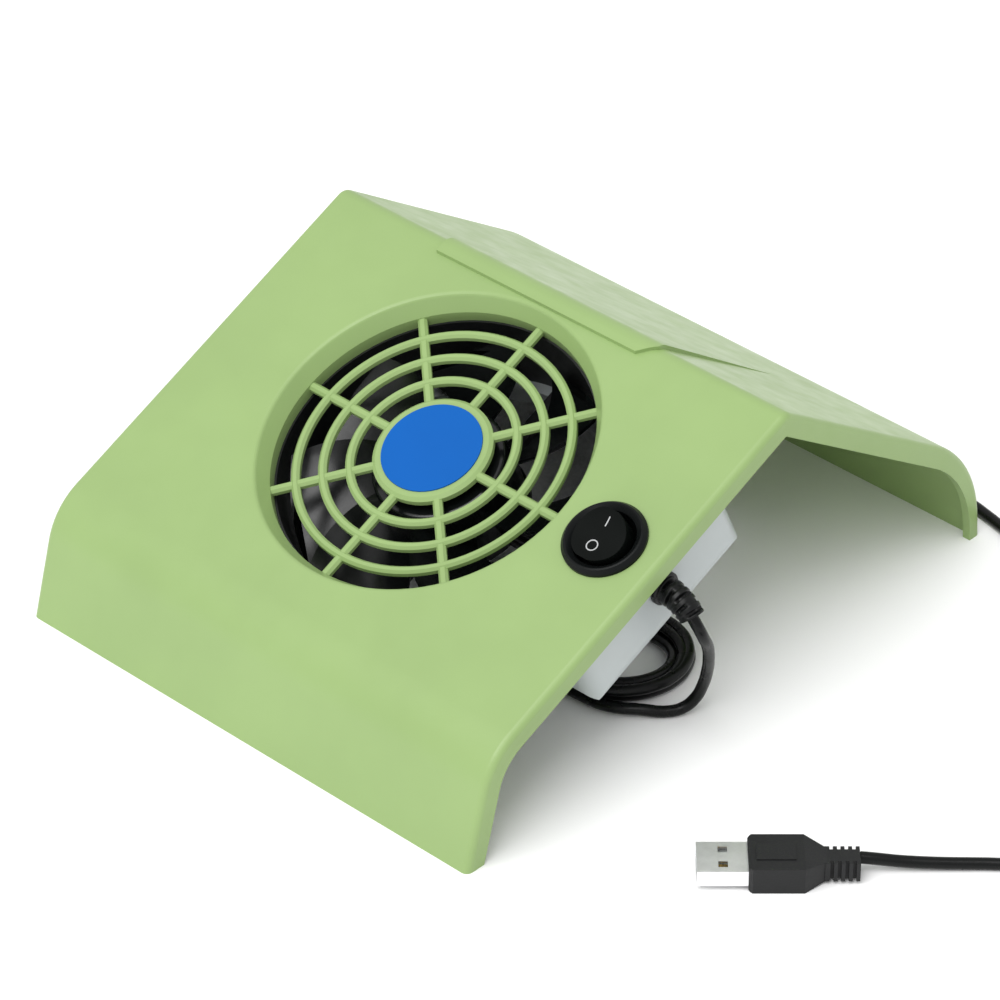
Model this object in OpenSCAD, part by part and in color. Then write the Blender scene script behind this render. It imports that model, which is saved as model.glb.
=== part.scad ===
// Nail dust collector: an open bridge-shaped shell with a fan behind a grille,
// a dust bag under the fan, a rocker switch and a flexible supply cord.
// X runs along the ridge, Y from front to back, Z up. Millimetres.
// Origin: middle of the shell's footprint, on the table.

/* [Shell] */
// Width along the ridge
body_w = 160; // [120:1:220]
// Depth from front foot to back foot
body_d = 203; // [160:1:260]
// Height of the ridge corner before it is rounded
ridge_h = 81; // [60:0.5:110]
// Distance of the ridge behind the front foot
ridge_back = 119; // [90:1:150]
// Lean of the front wall from upright
front_lean = 15.5; // [5:0.5:30]
// Rise of the working slope
slope_deg = 24.3; // [15:0.1:35]
// Fall of the back panel
back_deg = 33.6; // [20:0.1:45]
// Lean of the back wall from upright
rear_lean = 5; // [0:0.5:15]
// Rounding between front wall and slope
front_r = 20; // [5:1:30]
// Rounding of the ridge
ridge_r = 4; // [3:0.5:12]
// Rounding between back panel and back wall
rear_r = 42; // [15:1:42]
// Wall thickness
wall = 2.2; // [1.6:0.1:4]
// Width of the turned-in end lips
lip_w = 2.4; // [1.6:0.1:5]
// Depth of the end lips under the slope and back panel
lip_depth = 6; // [3:0.5:10]
// Rounding of the outer edges at both ends
edge_r = 1.6; // [0.5:0.1:2]
// Height of the raised pad along the ridge
pad_h = 1.2; // [0.5:0.1:2.5]

/* [Grille] */
// Grille centre from the middle of the width
grille_x = -1.5; // [-20:0.5:20]
// Grille centre measured down the slope from the ridge
grille_s = 53.1; // [50:0.1:60]
// Radius of the air opening
opening_r = 44.6; // [38:0.1:48]
// Radius of the dish around the opening
dish_r = 47.4; // [44:0.1:52]
// Depth of the dish
dish_depth = 4.8; // [3:0.1:7]
// Radius of the middle disc
hub_r = 16.6; // [10:0.1:20]
// Width of one ring
ring_w = 2.4; // [1.6:0.1:4]
// Radius of the middle of the outermost ring
ring_outer_r = 37.8; // [30:0.1:42]
// Number of rings
ring_count = 3; // [1:1:5]
// Number of spokes
spoke_count = 8; // [4:1:12]

/* [Fan] */
// Side of the square fan frame
fan_side = 92; // [80:1:92]
// Depth of the fan frame
fan_t = 25; // [15:1:30]
// Bore of the fan frame
fan_bore_r = 44; // [36:0.5:45]
// Spacing of the corner holes
fan_hole_pitch = 82.5; // [70:0.5:84]
// Number of blades
blade_count = 7; // [5:1:11]
// Gap between blade tips and bore
tip_gap = 0.8; // [0.4:0.1:2]

/* [Switch] */
// Switch centre from the middle of the width
switch_x = 62.5; // [58:0.5:66]
// Switch centre measured down the slope from the ridge
switch_s = 54.5; // [40:0.5:70]
// Diameter of the round bezel
bezel_d = 23; // [18:0.5:26]
// Swing of the rocker between off and on
rocker_throw = 22; // [10:1:26]

/* [Supply] */
// Diameter of the cord
cord_d = 3.2; // [2:0.1:5]
// Middle diameter of the coil
coil_d = 32; // [32:1:38]

/* [Hidden] */

$fn = 64;

shell_green = "#b0d48c";
black = "#18191a";
white = "#eceeed";
steel = "#b9bcc0";
copper = "#b8743c";
gold = "#c9a24a";
blue = "#0070c8";
pcb_green = "#2c6b3c";

// ---- shell profile, drawn as (y, z) -------------------------------------

front_y = -body_d / 2;
rear_y = body_d / 2;
ridge_y = front_y + ridge_back;

// Each straight run: a point on it and its direction, front foot to back foot.
run_point = [[front_y, 0], [ridge_y, ridge_h], [ridge_y, ridge_h], [rear_y, 0]];
run_angle = [90 - front_lean, slope_deg, -back_deg, rear_lean - 90];
corner_r = [front_r, ridge_r, rear_r];

function unit(v) = v / norm(v);
function heading(i) = [cos(run_angle[i]), sin(run_angle[i])];
function inward(i) = [sin(run_angle[i]), -cos(run_angle[i])];
function cross2(a, b) = a[0] * b[1] - a[1] * b[0];
function shifted(i, depth) = run_point[i] + inward(i) * depth;
function meet(p, u, q, v) = p + u * cross2(q - p, v) / cross2(u, v);

// Corner i lies between runs i and i + 1, each moved in by its own depth.
function corner(i, depth) =
    meet(shifted(i, depth[i]), heading(i), shifted(i + 1, depth[i + 1]), heading(i + 1));
function on_floor(i, depth, z) =
    meet(shifted(i, depth[i]), heading(i), [0, z], [1, 0]);
function turn(i) = run_angle[i] - run_angle[i + 1];
function tangent_len(i, r) = r * tan(turn(i) / 2);
function arc_start(i, depth, r) = corner(i, depth) - heading(i) * tangent_len(i, r);
function arc_end(i, depth, r) = corner(i, depth) + heading(i + 1) * tangent_len(i, r);
function arc_centre(i, depth, r) = arc_start(i, depth, r) + inward(i) * r;

module profile(depth, floor_z = 0) {
    radii = [for (i = [0:2]) max(corner_r[i] - min(depth[i], depth[i + 1]), 0.5)];
    union() {
        polygon(concat(
            [on_floor(0, depth, floor_z)],
            [for (i = [0:2]) each [arc_start(i, depth, radii[i]), arc_end(i, depth, radii[i])]],
            [on_floor(3, depth, floor_z)]
        ));
        for (i = [0:2])
            intersection() {
                translate(arc_centre(i, depth, radii[i]))
                    circle(r = radii[i], $fn = 96);
                polygon([
                    arc_centre(i, depth, radii[i]),
                    arc_start(i, depth, radii[i]),
                    corner(i, depth),
                    arc_end(i, depth, radii[i])
                ]);
            }
    }
}

// Stands a (y, z) drawing up and runs it along X.
module along_x(length) {
    translate([-length / 2, 0, 0])
        rotate([90, 0, 90])
            linear_extrude(length)
                children();
}

outer_depth = [0, 0, 0, 0];
wall_depth = [wall, wall, wall, wall];
lip_depths = [lip_depth, lip_depth, lip_depth, lip_depth * 0.75];

// ---- local frames --------------------------------------------------------

// Slope frame: origin on the ridge, +Y up the slope, +Z out of the slope.
module on_slope(x = 0, s = 0, h = 0) {
    translate([0, ridge_y, ridge_h])
        rotate([slope_deg, 0, 0])
            translate([x, -s, h])
                children();
}

// A point of the slope frame in the shell's own frame.
function slope_point(x, s, h) = [
    x,
    ridge_y - s * cos(slope_deg) - h * sin(slope_deg),
    ridge_h - s * sin(slope_deg) + h * cos(slope_deg)
];

fan_h = -8.3;
collar_h = fan_h - fan_t;

module at_fan() {
    on_slope(grille_x, grille_s, fan_h)
        children();
}

// ---- shell ---------------------------------------------------------------

// Closed skin through rings of points; each ring turns clockwise about the way it travels.
module skin(rings) {
    n = len(rings);
    k = len(rings[0]);
    walls = [for (i = [0:n - 2], j = [0:k - 1])
        let (a = i * k + j, b = i * k + (j + 1) % k)
        each [[a, b, a + k], [b, b + k, a + k]]];
    first = [for (j = [0:k - 1]) k - 1 - j];
    last = [for (j = [0:k - 1]) (n - 1) * k + j];
    polyhedron([for (ring = rings) each ring], concat(walls, [first, last]));
}

// Waste outside an arc that meets both faces edge_r from the corner, a little off tangent.
// Drawn as [out of the end, out of the wall] from the sharp corner.
arc_r = 1.2 * edge_r;
arc_off = edge_r / 2 + sqrt(arc_r * arc_r / 2 - edge_r * edge_r / 4);
arc_first = atan2(-arc_off + edge_r, -arc_off) + 180;
edge_waste = concat(
    [[-edge_r - 0.4, 0.06]],
    [for (k = [1:4])
        let (a = (90 - arc_first) + (2 * arc_first - 90) * k / 5)
        [-arc_off + arc_r * cos(a), -arc_off + arc_r * sin(a)]],
    [[0.06, -edge_r - 0.4], [1, -edge_r], [1, 1], [-edge_r, 1]]
);

// Stations along the outer profile: a point and the angle of its outward normal.
arc_steps = [12, 8, 14];
edge_stations = concat(
    [[on_floor(0, outer_depth, -2), run_angle[0] + 90]],
    [for (i = [0:2], k = [0:arc_steps[i]])
        let (a = run_angle[i] + 90 - turn(i) * k / arc_steps[i])
        [arc_centre(i, outer_depth, corner_r[i]) + corner_r[i] * [cos(a), sin(a)], a]],
    [[on_floor(3, outer_depth, -2), run_angle[3] + 90]]
);

// Rounds the outer edge of the end at +X.
module end_rounding() {
    skin([for (station = edge_stations)
        [for (w = edge_waste)
            [body_w / 2 + w[0],
             station[0][0] + w[1] * cos(station[1]),
             station[0][1] + w[1] * sin(station[1])]]]);
}

// Raised pad that wraps over the ridge and fades out down the back panel.
pad_left = -40;
pad_right = 36;
pad_front = 4.5;
pad_fade = 55;

// Waste outside an arc that rounds the corner p between edges leaving along u and v.
module corner_waste(p, u, v, r) {
    bisector = unit(u + v);
    half = acos(u * bisector);
    centre = p + bisector * r / sin(half);
    reach = r / tan(half);
    difference() {
        polygon([centre, p + u * reach, p - bisector * r, p + v * reach]);
        translate(centre)
            circle(r = r);
    }
}

function along_slope(s, h) = let (p = slope_point(0, s, h)) [p[1], p[2]];

module ridge_pad() {
    front = along_slope(pad_front, 0);
    front_top = along_slope(pad_front, pad_h);
    crest = meet(front_top, heading(1), shifted(2, -pad_h), heading(2));
    fade = run_point[2] + heading(2) * pad_fade;
    difference() {
        translate([(pad_left + pad_right) / 2, 0, 0])
            along_x(pad_right - pad_left)
                difference() {
                    polygon([
                        front - [0, 1],
                        front_top,
                        crest,
                        fade,
                        fade - [0, 1],
                        run_point[2] - [0, ridge_r]
                    ]);
                    corner_waste(crest, -heading(1), unit(fade - crest), ridge_r + 1);
                }
        on_slope(pad_right, 0, -3)
            rotate([0, 0, -135])
                cube([20, 20, 10]);
    }
}

// Bar with bevelled upper edges, top at the origin.
bar_bevel = 0.7;

module bar_section(w, height) {
    polygon([
        [-w / 2, -height],
        [w / 2, -height],
        [w / 2, -bar_bevel],
        [w / 2 - bar_bevel, 0],
        [-w / 2 + bar_bevel, 0],
        [-w / 2, -bar_bevel]
    ]);
}

// Grille drawn around its own axis, slope surface at z = 0.
bar_h = 2;
label_r = 13.9;
label_z = -dish_depth + 0.05;
ring_pitch = (ring_outer_r + ring_w / 2 - hub_r) / ring_count;

module grille() {
    top = -dish_depth;
    rotate_extrude($fn = 96)
        polygon([
            [0, top - bar_h],
            [hub_r, top - bar_h],
            [hub_r, top - 0.5],
            [hub_r - 1, top + 0.3],
            [0, top + 0.3]
        ]);
    for (i = [1:ring_count])
        rotate_extrude($fn = 96)
            translate([hub_r + i * ring_pitch - ring_w / 2, top])
                bar_section(ring_w, bar_h);
    for (i = [0:spoke_count - 1])
        rotate([0, 0, i * 360 / spoke_count])
            translate([hub_r - 2, 0, top - 0.25])
                rotate([90, 0, 90])
                    linear_extrude(opening_r + 1.2 - hub_r + 2)
                        bar_section(ring_w + 0.2, bar_h - 0.25);
}

module fan_boss_points() {
    for (x = [-1, 1], y = [-1, 1])
        translate([x * fan_hole_pitch / 2, y * fan_hole_pitch / 2, 0])
            children();
}

switch_hole_r = 10;
box_x0 = 46.8;
box_x1 = 75.8;
box_s0 = 23.5;
box_s1 = 84.4;
box_top = -wall;
box_bottom = -29.3;
box_lug_h = -6.2;
box_mid_x = (box_x0 + box_x1) / 2;

module box_screw_points() {
    for (s = [box_s0 - 5, box_s1 + 5])
        translate([box_mid_x, -s, 0])
            children();
}

// Space of the dish: sloping wall, then a softened rim.
rim_r = 1.4;
rim_steps = 3;

module dish_space() {
    wall_angle = atan(dish_depth / (dish_r - opening_r));
    centre = [dish_r + rim_r * tan(wall_angle / 2), -rim_r];
    rotate_extrude()
        polygon(concat(
            [[0, -dish_depth], [opening_r, -dish_depth]],
            [for (k = [0:rim_steps - 1])
                let (a = wall_angle * (1 - k / rim_steps))
                centre + rim_r * [-sin(a), cos(a)]],
            [[centre[0] + 0.2, 0.05], [centre[0] + 0.2, 3], [0, 3]]
        ));
}

module dish_and_holes() {
    on_slope(grille_x, grille_s) {
        dish_space();
        translate([0, 0, fan_h - 1])
            cylinder(r = opening_r, h = -fan_h);
        fan_boss_points()
            translate([0, 0, fan_h - 1])
                cylinder(d = 3.6, h = 7.5);
    }
    on_slope(switch_x, switch_s, -wall - 2)
        cylinder(r = switch_hole_r, h = wall + 4);
    on_slope()
        box_screw_points()
            translate([0, 0, box_lug_h - 1])
                cylinder(d = 2.5, h = 5);
}

module shell() {
    color(shell_green) {
        difference() {
            union() {
                difference() {
                    along_x(body_w)
                        profile(outer_depth);
                    along_x(body_w - 2 * lip_w)
                        profile(wall_depth, -2);
                    along_x(body_w + 2)
                        profile(lip_depths, -2);
                    end_rounding();
                    mirror([1, 0, 0])
                        end_rounding();
                }
                ridge_pad();
                on_slope(grille_x, grille_s) {
                    translate([0, 0, fan_h])
                        cylinder(r = dish_r + wall, h = -fan_h - wall / 2);
                    fan_boss_points()
                        translate([0, 0, fan_h])
                            cylinder(d = 9, h = -fan_h - wall / 2);
                }
                on_slope()
                    box_screw_points()
                        translate([0, 0, box_lug_h])
                            cylinder(d = 7, h = -box_lug_h - wall / 2);
            }
            dish_and_holes();
        }
        on_slope(grille_x, grille_s)
            difference() {
                grille();
                translate([0, 0, label_z])
                    cylinder(r = label_r + 0.05, h = 5);
            }
    }
}

module label_disc() {
    color(blue)
        on_slope(grille_x, grille_s, label_z)
            cylinder(r = label_r, h = 0.6);
}

// ---- fan, drawn from its intake face down --------------------------------

rotor_r = 18.5;
tube_r = 5;

module fan_outline() {
    r = 4;
    intersection() {
        square(fan_side, center = true);
        rotate(45)
            square(fan_side * sqrt(2) - 2 * r * (sqrt(2) - 1) * 1.4, center = true);
    }
}

module fan_flange(z) {
    translate([0, 0, z])
        linear_extrude(3.5)
            fan_outline();
}

module fan_frame() {
    strut_z = -fan_t;
    color(black)
        at_fan()
            difference() {
                union() {
                    difference() {
                        union() {
                            fan_flange(-3.5);
                            fan_flange(-fan_t);
                            translate([0, 0, -fan_t + 1])
                                cylinder(r = fan_side / 2 - 0.2, h = fan_t - 2);
                            fan_boss_points()
                                translate([0, 0, -fan_t + 1])
                                    cylinder(d = 8, h = fan_t - 2);
                        }
                        translate([0, 0, -fan_t - 1])
                            cylinder(r = fan_bore_r, h = fan_t + 2, $fn = 96);
                    }
                    translate([0, 0, strut_z])
                        cylinder(r = rotor_r + 0.5, h = 2.4);
                    for (a = [0:90:270])
                        rotate([0, 0, a])
                            translate([rotor_r - 2, -2, strut_z])
                                cube([fan_bore_r - rotor_r + 3.5, 4, 2.8]);
                    translate([0, 0, strut_z + 1])
                        cylinder(r = tube_r, h = 17);
                }
                translate([0, 0, strut_z + 1.6])
                    cylinder(r = 3.5, h = 20);
                fan_boss_points()
                    translate([0, 0, -fan_t - 1])
                        cylinder(d = 4.4, h = fan_t + 2);
                translate([fan_bore_r - 1, -2, strut_z + 2.8])
                    cube([6, 4, 2]);
            }
}

// One blade: a thin helical sheet, widening and swept forward to the tip.
blade_rows = 7;
blade_cols = 6;
blade_top = -4;
blade_drop = 14.4;

function blade_r(i) = rotor_r - 0.6 + (fan_bore_r - tip_gap - rotor_r + 0.6) * i / blade_rows;
function blade_sweep(i) = 20 * pow(i / blade_rows, 1.4);
function blade_span(i) = 40 + 3 * i / blade_rows;
function blade_angle(i, j) = blade_sweep(i) + blade_span(i) * (j / blade_cols - 0.5);
function blade_z(j) = blade_top - blade_drop * pow(j / blade_cols, 0.85);
function blade_point(i, j, side) = [
    blade_r(i) * cos(blade_angle(i, j)),
    blade_r(i) * sin(blade_angle(i, j)),
    blade_z(j) - side * (1.0 + 0.6 * sin(180 * j / blade_cols))
];

module blade() {
    n = blade_cols + 1;
    m = (blade_rows + 1) * n;
    points = [for (side = [0, 1], i = [0:blade_rows], j = [0:blade_cols]) blade_point(i, j, side)];
    top = [for (i = [0:blade_rows - 1], j = [0:blade_cols - 1])
        let (a = i * n + j) each [[a, a + n, a + 1], [a + 1, a + n, a + n + 1]]];
    bottom = [for (f = top) [f[0] + m, f[2] + m, f[1] + m]];
    rim_in = [for (j = [0:blade_cols - 1])
        let (a = j) each [[a, a + 1, a + m], [a + 1, a + 1 + m, a + m]]];
    rim_out = [for (j = [0:blade_cols - 1])
        let (a = blade_rows * n + j) each [[a, a + m, a + 1], [a + 1, a + m, a + 1 + m]]];
    rim_lead = [for (i = [0:blade_rows - 1])
        let (a = i * n) each [[a, a + m, a + n], [a + n, a + m, a + n + m]]];
    rim_trail = [for (i = [0:blade_rows - 1])
        let (a = i * n + blade_cols) each [[a, a + n, a + m], [a + n, a + n + m, a + m]]];
    faces = concat(top, bottom, rim_in, rim_out, rim_lead, rim_trail);
    polyhedron(points, [for (f = faces) [f[0], f[2], f[1]]]);
}

module fan_impeller() {
    color(black)
        at_fan() {
            for (i = [0:blade_count - 1])
                rotate([0, 0, i * 360 / blade_count])
                    blade();
            difference() {
                translate([0, 0, -20])
                    cylinder(r = rotor_r, h = 18.2);
                translate([0, 0, -21])
                    cylinder(r = 17, h = 17.4);
            }
            difference() {
                translate([0, 0, -7])
                    cylinder(r = 3, h = 4);
                translate([0, 0, -8])
                    cylinder(r = 1.5, h = 4.6);
            }
        }
}

module rotor_yoke() {
    color(steel)
        at_fan()
            difference() {
                translate([0, 0, -19])
                    cylinder(r = 16.98, h = 15.38);
                translate([0, 0, -20])
                    cylinder(r = 16.2, h = 15.6);
                translate([0, 0, -5])
                    cylinder(r = 3.02, h = 3);
            }
}

module rotor_magnet() {
    color("#3a3a3c")
        at_fan()
            difference() {
                translate([0, 0, -18])
                    cylinder(r = 16.18, h = 12);
                translate([0, 0, -19])
                    cylinder(r = 14.6, h = 14);
            }
}

module fan_shaft() {
    color(steel)
        at_fan()
            difference() {
                translate([0, 0, -22.4])
                    cylinder(r = 1.48, h = 18.7);
                translate([0, 0, -22])
                    difference() {
                        cylinder(r = 2, h = 0.5);
                        cylinder(r = 1.15, h = 0.5);
                    }
            }
}

module shaft_clip() {
    color(steel)
        at_fan()
            translate([0, 0, -21.95])
                difference() {
                    cylinder(r = 2.7, h = 0.4);
                    translate([0, 0, -1])
                        cylinder(r = 1.17, h = 3);
                    translate([0, -0.7, -1])
                        cube([4, 1.4, 3]);
                }
}

module fan_bearing() {
    color("#a8895a")
        at_fan()
            translate([0, 0, -20.8])
                difference() {
                    cylinder(r = 3.48, h = 12);
                    translate([0, 0, -1])
                        cylinder(r = 1.52, h = 14);
                }
}

stator_z = -17.5;
stator_t = 8;

module stator_core() {
    color("#8f9296")
        at_fan()
            translate([0, 0, stator_z])
                difference() {
                    union() {
                        cylinder(r = 7, h = stator_t);
                        for (a = [0:90:270])
                            rotate([0, 0, a]) {
                                translate([5.5, -1.5, 0])
                                    cube([7.5, 3, stator_t]);
                                intersection() {
                                    difference() {
                                        cylinder(r = 14, h = stator_t);
                                        translate([0, 0, -1])
                                            cylinder(r = 12.5, h = stator_t + 2);
                                    }
                                    translate([8, -8, 0])
                                        cube([10, 16, stator_t]);
                                }
                            }
                    }
                    translate([0, 0, -1])
                        cylinder(r = tube_r + 0.02, h = stator_t + 2);
                }
}

module stator_coils() {
    color(copper)
        at_fan()
            for (a = [0:90:270])
                rotate([0, 0, a])
                    translate([7.4, 0, stator_z])
                        difference() {
                            translate([0, -3.6, -1.6])
                                cube([4.5, 7.2, stator_t + 3.2]);
                            translate([-1, -1.52, -0.02])
                                cube([8, 3.04, stator_t + 0.04]);
                        }
}

module fan_board() {
    color(pcb_green)
        at_fan()
            difference() {
                union() {
                    translate([0, 0, -22.5])
                        cylinder(r = 15, h = 1);
                    translate([9, -2, -21.6])
                        cube([4, 3, 1.4]);
                    translate([-12, -4, -21.6])
                        cube([3.2, 2, 1]);
                }
                translate([0, 0, -24])
                    cylinder(r = tube_r + 0.02, h = 5);
            }
}

screw_head_h = 2.2;

module screw(length, d, head_d, head_h) {
    cylinder(d = head_d, h = head_h);
    translate([0, 0, head_h - 0.2])
        cylinder(d = d, h = length - 1);
    translate([0, 0, head_h + length - 1.2])
        cylinder(d1 = d, d2 = d / 2, h = 1);
}

module cross_recess(size, depth) {
    for (a = [0, 90])
        rotate([0, 0, a])
            translate([-size / 2, -size / 10, -1])
                cube([size, size / 5, depth + 1]);
}

collar_t = 2;

module fan_screws() {
    color(steel)
        at_fan()
            fan_boss_points()
                translate([0, 0, -fan_t - collar_t - screw_head_h])
                    difference() {
                        screw(fan_t + collar_t + 6, 3.5, 7, screw_head_h);
                        cross_recess(4, 1.3);
                    }
}

// ---- dust bag ------------------------------------------------------------

neck_r = 43;
neck_h = 4;

module bag_collar() {
    color(white)
        at_fan()
            translate([0, 0, -fan_t - collar_t]) {
                difference() {
                    union() {
                        linear_extrude(collar_t)
                            fan_outline();
                        translate([0, 0, -neck_h])
                            cylinder(r = neck_r, h = neck_h + 1);
                        translate([0, 0, -neck_h])
                            cylinder(r = neck_r + 1, h = 1);
                    }
                    translate([0, 0, -neck_h - 1])
                        cylinder(r = neck_r - 2, h = neck_h + collar_t + 2);
                    fan_boss_points()
                        translate([0, 0, -1])
                            cylinder(d = 4.4, h = collar_t + 2);
                }
            }
}

module bag_elastic() {
    color(white)
        at_fan()
            translate([0, 0, -fan_t - collar_t - 1.5])
                rotate_extrude($fn = 96)
                    translate([neck_r + 1.35, 0])
                        circle(r = 1.25, $fn = 32);
}

// Closed shape of the pouch: the right-hand outline leaves room for the coiled cord.
bag_left = -37;
bag_fold_r = 4;
bag_outline = [
    [6, -54, 5],
    [34, -36, 15],
    [34, 20, 33],
    [34, 46, 38],
    [30, 60, 20],
    [12, 56, 5]
];

module dust_bag() {
    color(white)
        difference() {
            hull()
                for (p = bag_outline, x = [bag_left, p[0]])
                    translate([x, p[1], p[2]])
                        sphere(r = bag_fold_r, $fn = 24);
            on_slope(0, grille_s, collar_h - collar_t - neck_h)
                translate([-80, -100, 0])
                    cube([160, 200, 60]);
        }
}

// ---- switch, drawn around its own axis, slope surface at z = 0 ------------

bezel_r = bezel_d / 2;
well_r = 8.6;
well_depth = 9;
rocker_r = 7.5;
pivot_z = -1.5;
barrel_h = 12;
terminal_w = 4.8;
terminal_t = 0.8;
terminal_y = [-0.4, -5.3];

module at_switch() {
    on_slope(switch_x, switch_s)
        children();
}

module switch_body() {
    color(black)
        at_switch()
            difference() {
                union() {
                    rotate_extrude()
                        polygon([[0, 0], [bezel_r, 0], [bezel_r, 0.9], [bezel_r - 0.9, 2],
                                 [bezel_r - 1.3, 2.1], [0, 2.1]]);
                    translate([0, 0, -barrel_h])
                        cylinder(r = 9.7, h = barrel_h + 0.5);
                    for (a = [0, 180])
                        rotate([0, 0, a])
                            translate([9, -2.5, -6.5])
                                cube([1.6, 5, 4]);
                }
                translate([0, 0, -well_depth])
                    cylinder(r = well_r, h = well_depth + 5);
                translate([0, 0, 1])
                    cylinder(r1 = well_r, r2 = well_r + 1.6, h = 1.2);
                for (x = [-1, 1])
                    translate([x * (well_r - 0.1), 0, pivot_z])
                        rotate([0, 90, 0])
                            cylinder(d = 2.04, h = 1.8, center = true);
                for (y = terminal_y)
                    translate([-terminal_w / 2 - 0.02, y - 0.02, -barrel_h - 1])
                        cube([terminal_w + 0.04, terminal_t + 0.04, barrel_h]);
            }
}

// Drawn level, then tilted to its resting "off" position. The top is a shallow trough,
// and both marks are cut square to its leaning faces.
rocker_top = 3.4;
trough_r = 20;
mark_lean = 11;

module rocker_solid() {
    difference() {
        intersection() {
            rotate([90, 0, 90])
                translate([0, 0, -rocker_r])
                    linear_extrude(2 * rocker_r)
                        polygon([
                            [-rocker_r, rocker_top + 3],
                            [rocker_r, rocker_top + 3],
                            [rocker_r - 1, pivot_z],
                            [3, pivot_z - 3],
                            [-3, pivot_z - 3],
                            [-rocker_r + 1, pivot_z]
                        ]);
            translate([0, 0, -10])
                cylinder(r = rocker_r, h = 20);
        }
        translate([0, 0, rocker_top + trough_r])
            rotate([0, 90, 0])
                cylinder(r = trough_r, h = 4 * rocker_r, center = true, $fn = 128);
    }
}

module switch_rocker() {
    color(black)
        at_switch()
            translate([0, 0, pivot_z])
                rotate([rocker_throw / 2, 0, 0])
                    translate([0, 0, -pivot_z]) {
                        difference() {
                            rocker_solid();
                            translate([-0.2, 2.6, rocker_top])
                                rotate([mark_lean, 0, 0])
                                    cube([0.4, 3, 2]);
                            rotate([-mark_lean, 0, 0])
                                translate([0, -3.8, rocker_top - 0.55])
                                    difference() {
                                        cylinder(r = 1.7, h = 3);
                                        cylinder(r = 1.3, h = 3);
                                    }
                        }
                        for (x = [-1, 1])
                            translate([x * 7.7, 0, pivot_z])
                                rotate([0, 90, 0])
                                    cylinder(d = 2, h = 2.2, center = true);
                        translate([0, 0, pivot_z - 5.3])
                            cylinder(d = 2.4, h = 2.5);
                    }
}

contact_tilt = 8;
contact_z = -7.4;
contact_pivot_d = 1;
terminal_bottom = -20;
floor_z = -9;

// Rocking bar that closes the circuit, tipped open at rest.
module contact_arm() {
    color(copper)
        at_switch()
            translate([0, 0, contact_z])
                rotate([-contact_tilt, 0, 0]) {
                    translate([-1.5, -5.4, -0.25])
                        cube([3, 10.8, 0.5]);
                    translate([0, -4.6, -0.7])
                        cylinder(d = 1.8, h = 0.6);
                    rotate([0, 90, 0])
                        cylinder(d = contact_pivot_d, h = 3, center = true);
                }
}

module switch_terminals() {
    color(steel)
        at_switch() {
            translate([-terminal_w / 2, terminal_y[0], terminal_bottom])
                cube([terminal_w, terminal_t,
                      contact_z - contact_pivot_d / 2 - 0.03 - terminal_bottom]);
            translate([-terminal_w / 2, terminal_y[1], terminal_bottom])
                cube([terminal_w, terminal_t, floor_z + 0.1 - terminal_bottom]);
        }
}

// ---- wiring box ----------------------------------------------------------

box_wall = 2;
box_r = 5.8;
lead_d = 1.1;
lead_port_h = -20;
boot_s = 52.9;
boot_h = -13.5;
boot_hole_d = 6;

// Side of the box with its lower corners rounded, drawn from its lower middle.
module tub_outline(width, height) {
    translate([-width / 2, box_r])
        square([width, height - box_r]);
    translate([-width / 2 + box_r, 0])
        square([width - 2 * box_r, box_r + 1]);
    for (x = [-1, 1])
        translate([x * (width / 2 - box_r), box_r])
            circle(r = box_r);
}

// Plan of the box with rounded upright edges.
module tub_plan(size_x, size_s) {
    square([size_x, size_s - 2 * box_r], center = true);
    square([size_x - 2 * box_r, size_s], center = true);
    for (x = [-1, 1], y = [-1, 1])
        translate([x * (size_x / 2 - box_r), y * (size_s / 2 - box_r)])
            circle(r = box_r);
}

module wiring_box() {
    size_x = box_x1 - box_x0;
    size_s = box_s1 - box_s0;
    depth = box_top - box_bottom;
    color(white)
        on_slope() {
            difference() {
                translate([box_mid_x, -(box_s0 + box_s1) / 2, box_bottom])
                    intersection() {
                        translate([0, size_s / 2, 0])
                            rotate([90, 0, 0])
                                linear_extrude(size_s)
                                    tub_outline(size_x, depth);
                        translate([-size_x / 2, 0, 0])
                            rotate([90, 0, 90])
                                linear_extrude(size_x)
                                    tub_outline(size_s, depth);
                        linear_extrude(depth)
                            tub_plan(size_x, size_s);
                    }
                translate([box_x0 + box_wall, -box_s1 + box_wall, box_bottom + box_wall])
                    cube([size_x - 2 * box_wall, size_s - 2 * box_wall, depth]);
                translate([box_x1 - 3, -boot_s, boot_h])
                    rotate([0, 90, 0])
                        cylinder(d = boot_hole_d, h = 6);
                translate([box_x0 - 3, -grille_s, lead_port_h])
                    rotate([0, 90, 0])
                        cylinder(d = 6, h = 6);
                translate([grille_x, -grille_s, fan_h - 0.3])
                    cylinder(r = dish_r + wall + 0.3, h = -fan_h);
            }
            for (side = [0, 1])
                difference() {
                    translate([box_mid_x - 4.5, side ? -box_s1 - 9 : -box_s0 - 0.8, box_lug_h - 2])
                        cube([9, 9.8, 2]);
                    box_screw_points()
                        translate([0, 0, box_lug_h - 3])
                            cylinder(d = 3.2, h = 4);
                }
        }
}

module box_screws() {
    color(steel)
        on_slope()
            box_screw_points()
                translate([0, 0, box_lug_h - 2 - 1.8])
                    difference() {
                        screw(6, 2.45, 5.6, 1.8);
                        cross_recess(3, 1);
                    }
}

// ---- leads and cord ------------------------------------------------------

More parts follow.
